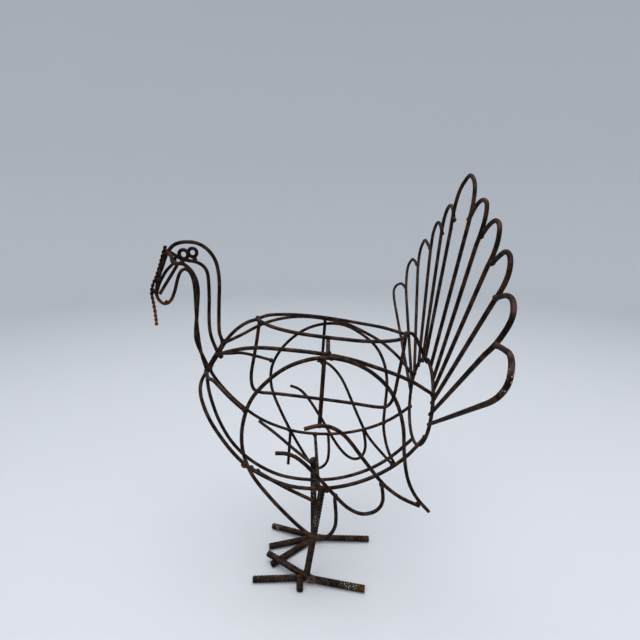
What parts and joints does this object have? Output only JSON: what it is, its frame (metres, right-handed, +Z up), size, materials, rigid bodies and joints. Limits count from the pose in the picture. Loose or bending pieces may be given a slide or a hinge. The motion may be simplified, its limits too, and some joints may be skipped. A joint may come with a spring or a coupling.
{
  "type": "welded wire-frame turkey sculpture",
  "caption": "Standing turkey figure of bent round rod, with legs and toes of ribbed bar, an open basket of stringers for a body and a fanned tail of looped feathers.",
  "frame": {"origin": "on the ground under the centre of the bounding box, in the middle plane of the bird", "axes": "+Z up; the bird faces -X, with its tail at +X; its left side is -Y and its right side is +Y"},
  "size_m": [0.431, 0.492, 0.6001],
  "materials": {
    "plain_rod": "matte",
    "ribbed_bar": "matte",
    "twisted_wire": "matte",
    "weld_metal": "matte"
  },
  "bodies": {
    "root": {"crest_rod": "plain_rod", "left_neck_rod": "plain_rod", "right_neck_rod": "plain_rod", "throat_rod": "plain_rod", "left_eye_ring": "plain_rod", "right_eye_ring": "plain_rod", "upper_beak_rod": "plain_rod", "left_beak_rod": "plain_rod", "right_beak_rod": "plain_rod", "snood_wire": "twisted_wire", "collar_bar": "plain_rod", "hoop_link_rod": "plain_rod", "back_hoop": "plain_rod", "tail_link_rod": "plain_rod", "basket_rod": "plain_rod", "left_upper_stringer": "plain_rod", "right_upper_stringer": "plain_rod", "left_shoulder_rod": "plain_rod", "right_shoulder_rod": "plain_rod", "left_lower_stringer": "plain_rod", "right_lower_stringer": "plain_rod", "keel_rod": "plain_rod", "left_back_tie": "plain_rod", "right_back_tie": "plain_rod", "leg_crossbar": "plain_rod", "left_leg_brace": "plain_rod", "right_leg_brace": "plain_rod", "belly_stub": "plain_rod", "left_wing_rod": "plain_rod", "left_wing_feather_2": "plain_rod", "left_wing_feather_3": "plain_rod", "left_wing_strut": "plain_rod", "right_wing_rod": "plain_rod", "right_wing_feather_2": "plain_rod", "right_wing_feather_3": "plain_rod", "right_wing_strut": "plain_rod", "tail_ring": "plain_rod", "tail_feather_centre": "plain_rod", "left_tail_feather_1": "plain_rod", "left_tail_feather_2": "plain_rod", "left_tail_feather_3": "plain_rod", "left_tail_feather_4": "plain_rod", "left_tail_feather_5": "plain_rod", "right_tail_feather_1": "plain_rod", "right_tail_feather_2": "plain_rod", "right_tail_feather_3": "plain_rod", "right_tail_feather_4": "plain_rod", "right_tail_feather_5": "plain_rod", "left_leg": "ribbed_bar", "left_front_toes": "ribbed_bar", "left_hind_toe": "ribbed_bar", "right_leg": "ribbed_bar", "right_front_toes": "ribbed_bar", "right_hind_toe": "ribbed_bar", "head_welds": "weld_metal", "body_welds": "weld_metal", "wing_welds": "weld_metal", "tail_welds": "weld_metal", "foot_welds": "weld_metal"}
  },
  "joints": []
}
